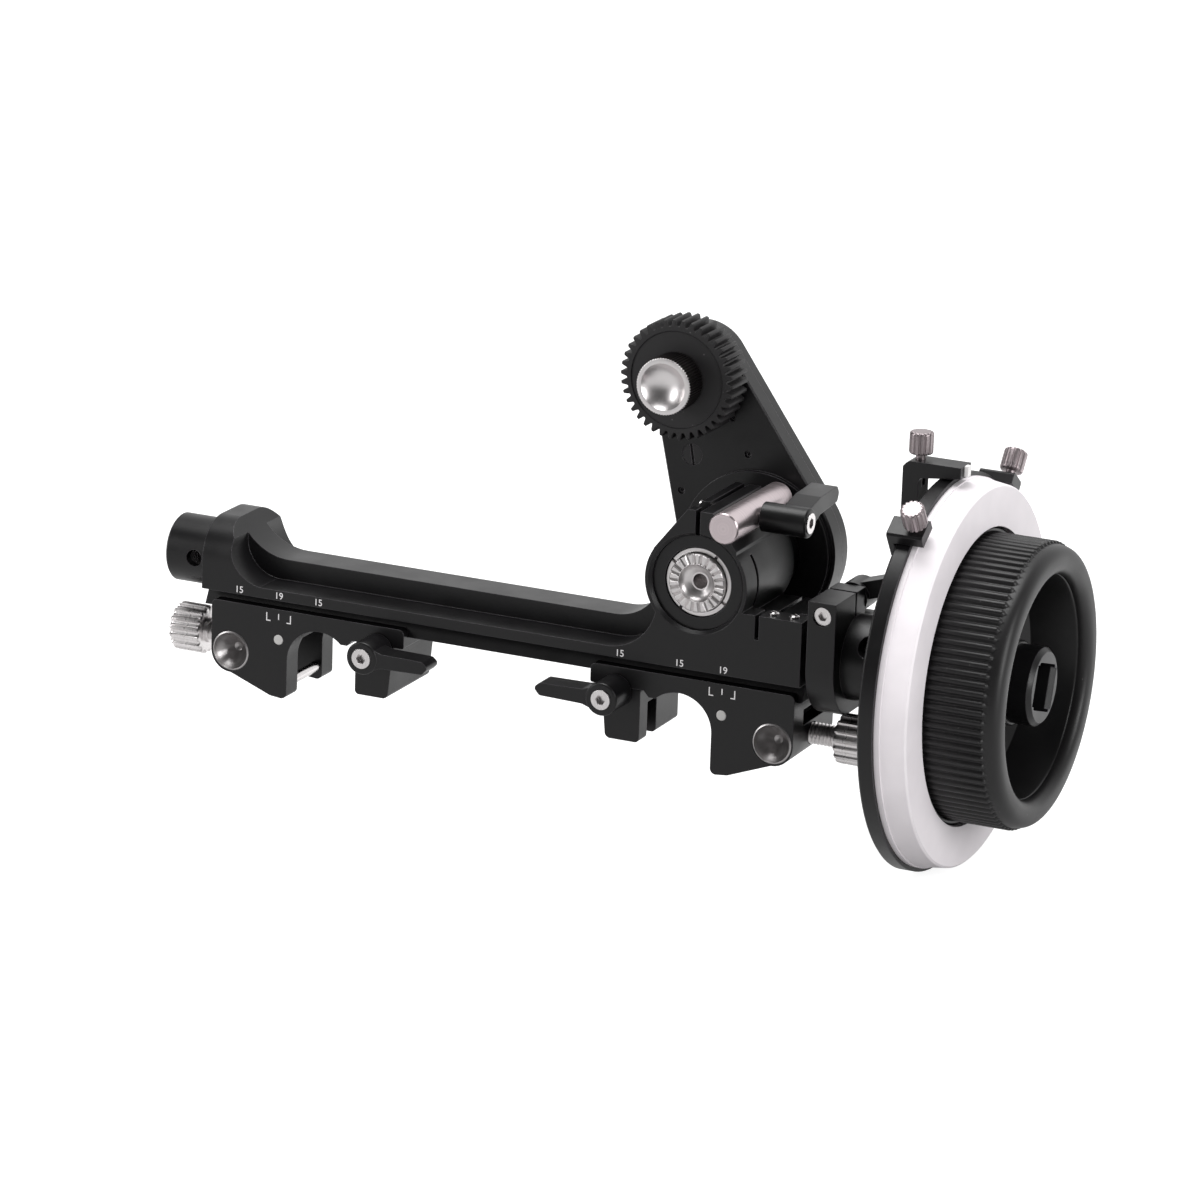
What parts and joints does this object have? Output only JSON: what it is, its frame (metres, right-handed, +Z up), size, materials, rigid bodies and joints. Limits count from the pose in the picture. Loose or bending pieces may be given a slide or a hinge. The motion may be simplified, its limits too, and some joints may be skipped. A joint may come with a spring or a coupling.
{
  "type": "follow focus unit",
  "caption": "Follow focus: a bridge on two sliding rod clamps carries a swinging geared arm with a toothed lens gear, and a large handwheel with a white marking disc and hard stops.",
  "frame": {"origin": "half way between the axes of the two 19 mm rods, in the front face of the bridge", "axes": "+X along the bridge towards the handwheel, +Y away from the front face along the rods, +Z up"},
  "size_m": [0.249, 0.1026, 0.1291],
  "materials": {
    "black_anodised": "satin black anodised aluminium",
    "silver_steel": "turned stainless steel",
    "clamp_bar_steel": "ground stainless steel",
    "gear_rubber": "matte black moulded",
    "grip_rubber": "matte black, fine ribs",
    "marking_plastic": "matte white writing surface",
    "black_plastic": "satin black",
    "index_white": "white paint fill",
    "index_pin": "light grey pin",
    "gear_brass": "cut gear teeth",
    "bearing_steel": "bearing steel",
    "blackened_steel": "black oxide"
  },
  "bodies": {
    "bridge": {"bridge_body": "black_anodised", "left_port_tube": "black_anodised", "right_port_tube": "black_anodised", "port_set_screws": "silver_steel", "shaft_bearings": "bearing_steel", "clamp_bar": "clamp_bar_steel", "wheel_housing": "black_anodised", "housing_screw": "silver_steel", "wheel_bearings": "bearing_steel", "pointer_bracket": "black_anodised", "pointer_tip": "index_white"},
    "wheel": {"wheel_shaft": "silver_steel", "stop_disc": "black_anodised", "marking_disc": "marking_plastic", "grip_ring": "grip_rubber", "wheel_dish": "black_plastic", "hub_socket": "black_anodised", "drive_shaft": "silver_steel", "drive_gear": "gear_brass"},
    "arm": {"arm_barrel": "black_anodised", "arm_plate": "black_anodised", "arm_cover": "black_anodised", "arm_cover_screws": "blackened_steel", "arm_slot_screw": "blackened_steel", "bearing_lock_ring": "silver_steel", "arm_bearings": "bearing_steel"},
    "idler_pin": {"idler_pin": "silver_steel"},
    "spindle_core": {"spindle_core": "silver_steel"},
    "input": {"input_shaft": "silver_steel", "cross_gear": "gear_brass", "input_gear": "gear_brass"},
    "idler": {"idler_gear": "gear_brass"},
    "output": {"output_spindle": "silver_steel", "output_gear": "gear_brass", "focus_gear": "gear_rubber"},
    "gear_knob": {"gear_knob": "silver_steel"},
    "swing_lever": {"swing_lever": "black_anodised", "swing_lever_screw": "silver_steel"},
    "housing_lever": {"housing_lever": "black_anodised"},
    "pointer_screw": {"pointer_thumbscrew": "silver_steel"},
    "front_stop": {"front_stop": "black_anodised"},
    "front_stop_screw": {"front_stop_screw": "silver_steel"},
    "back_stop": {"back_stop": "black_anodised"},
    "back_stop_screw": {"back_stop_screw": "silver_steel"},
    "left_carriage": {"left_carriage": "black_anodised", "left_lock_cone": "silver_steel", "left_index_pin": "index_pin", "left_rod_dowel": "silver_steel"},
    "left_mode_screw": {"left_mode_screw": "silver_steel"},
    "left_jaw": {"left_jaw": "black_anodised"},
    "left_jaw_lever": {"left_jaw_lever": "black_anodised", "left_jaw_screw": "silver_steel"},
    "right_carriage": {"right_carriage": "black_anodised", "right_lock_cone": "silver_steel", "right_index_pin": "index_pin", "right_rod_dowel": "silver_steel"},
    "right_mode_screw": {"right_mode_screw": "silver_steel"},
    "right_jaw": {"right_jaw": "black_anodised"},
    "right_jaw_lever": {"right_jaw_lever": "black_anodised", "right_jaw_screw": "silver_steel"}
  },
  "joints": [
    {"name": "wheel_spin", "type": "hinge", "parent": "bridge", "child": "wheel", "pos_m": [0.12, 0.0153, 0.022], "axis": [1, 0, 0], "range_deg": [-24, 31]},
    {"name": "arm_swing", "type": "hinge", "parent": "bridge", "child": "arm", "pos_m": [0.0556, 0.02, 0.0392], "axis": [0, 1, 0], "range_deg": [-66, 60]},
    {"name": "input_spin", "type": "hinge", "parent": "bridge", "child": "input", "pos_m": [0.0556, 0.02, 0.0392], "axis": [0, 1, 0], "range_deg": [-25, 32]},
    {"name": "idler_pin_turn", "type": "hinge", "parent": "arm", "child": "idler_pin", "pos_m": [0.04419, 0.0437, 0.06477], "axis": [0, 1, 0], "range_deg": [-89, 81]},
    {"name": "idler_spin", "type": "hinge", "parent": "idler_pin", "child": "idler", "pos_m": [0.04419, 0.0437, 0.06477], "axis": [0, 1, 0], "range_deg": [-42, 33]},
    {"name": "spindle_core_turn", "type": "hinge", "parent": "arm", "child": "spindle_core", "pos_m": [0.0357, 0.03, 0.0838], "axis": [0, 1, 0], "range_deg": [-111, 122]},
    {"name": "output_spin", "type": "hinge", "parent": "spindle_core", "child": "output", "pos_m": [0.0357, 0.03, 0.0838], "axis": [0, 1, 0], "range_deg": [-44, 57]},
    {"name": "gear_knob_turn", "type": "hinge", "parent": "output", "child": "gear_knob", "pos_m": [0.0357, 0.024, 0.0838], "axis": [0, 1, 0], "range_deg": [0, 360]},
    {"name": "swing_lever_turn", "type": "hinge", "parent": "bridge", "child": "swing_lever", "pos_m": [0.0735, 0.016, 0.0549], "axis": [1, 0, 0], "range_deg": [-20, 90]},
    {"name": "housing_lever_turn", "type": "hinge", "parent": "bridge", "child": "housing_lever", "pos_m": [0.0906, 0.024, 0.0358], "axis": [0, 1, 0], "range_deg": [-100, 12]},
    {"name": "pointer_screw_turn", "type": "hinge", "parent": "bridge", "child": "pointer_screw", "pos_m": [0.11, 0.0134, 0.08], "axis": [0, 0, 1], "range_deg": [0, 360]},
    {"name": "front_stop_shift", "type": "hinge", "parent": "wheel", "child": "front_stop", "pos_m": [0.119, 0.0153, 0.022], "axis": [1, 0, 0], "range_deg": [-24, 100]},
    {"name": "front_stop_screw_turn", "type": "hinge", "parent": "front_stop", "child": "front_stop_screw", "pos_m": [0.121, -0.01713, 0.07008], "axis": [0, -0.5592, 0.829], "range_deg": [0, 360]},
    {"name": "back_stop_shift", "type": "hinge", "parent": "wheel", "child": "back_stop", "pos_m": [0.119, 0.0153, 0.022], "axis": [1, 0, 0], "range_deg": [-100, 31]},
    {"name": "back_stop_screw_turn", "type": "hinge", "parent": "back_stop", "child": "back_stop_screw", "pos_m": [0.121, 0.0502, 0.06832], "axis": [0, 0.6018, 0.7986], "range_deg": [0, 360]},
    {"name": "left_mode_slide", "type": "slide", "parent": "bridge", "child": "left_carriage", "axis": [1, 0, 0], "range_m": [-0.0119, 0.0117]},
    {"name": "left_mode_screw_turn", "type": "hinge", "parent": "left_carriage", "child": "left_mode_screw", "pos_m": [-0.09, 0.0132, 0.0005], "axis": [1, 0, 0], "range_deg": [-360, 0]},
    {"name": "left_jaw_lever_turn", "type": "hinge", "parent": "left_carriage", "child": "left_jaw_lever", "pos_m": [-0.0345, -0.005, 0.0075], "axis": [0, 1, 0], "range_deg": [-60, 60]},
    {"name": "left_jaw_close", "type": "slide", "parent": "left_carriage", "child": "left_jaw", "axis": [1, 0, 0], "range_m": [-0.00132, 0.00132]},
    {"name": "right_mode_slide", "type": "slide", "parent": "bridge", "child": "right_carriage", "axis": [1, 0, 0], "range_m": [-0.029, 0]},
    {"name": "right_mode_screw_turn", "type": "hinge", "parent": "right_carriage", "child": "right_mode_screw", "pos_m": [0.09, 0.0132, 0.0005], "axis": [1, 0, 0], "range_deg": [0, 360]},
    {"name": "right_jaw_lever_turn", "type": "hinge", "parent": "right_carriage", "child": "right_jaw_lever", "pos_m": [0.0345, -0.005, 0.0075], "axis": [0, 1, 0], "range_deg": [-60, 60]},
    {"name": "right_jaw_close", "type": "slide", "parent": "right_carriage", "child": "right_jaw", "axis": [1, 0, 0], "range_m": [-0.00132, 0.00132]}
  ],
  "couplings": [
    {"joint": "input_spin", "follows": "wheel_spin", "ratio": 1},
    {"joint": "idler_pin_turn", "follows": "arm_swing", "ratio": 1.3333},
    {"joint": "spindle_core_turn", "follows": "arm_swing", "ratio": -1.8182},
    {"joint": "idler_spin", "follows": "wheel_spin", "ratio": -1.3333},
    {"joint": "output_spin", "follows": "wheel_spin", "ratio": 1.8182},
    {"joint": "left_jaw_close", "follows": "left_jaw_lever_turn", "m_per_rad": -0.00124},
    {"joint": "right_jaw_close", "follows": "right_jaw_lever_turn", "m_per_rad": -0.00124}
  ]
}
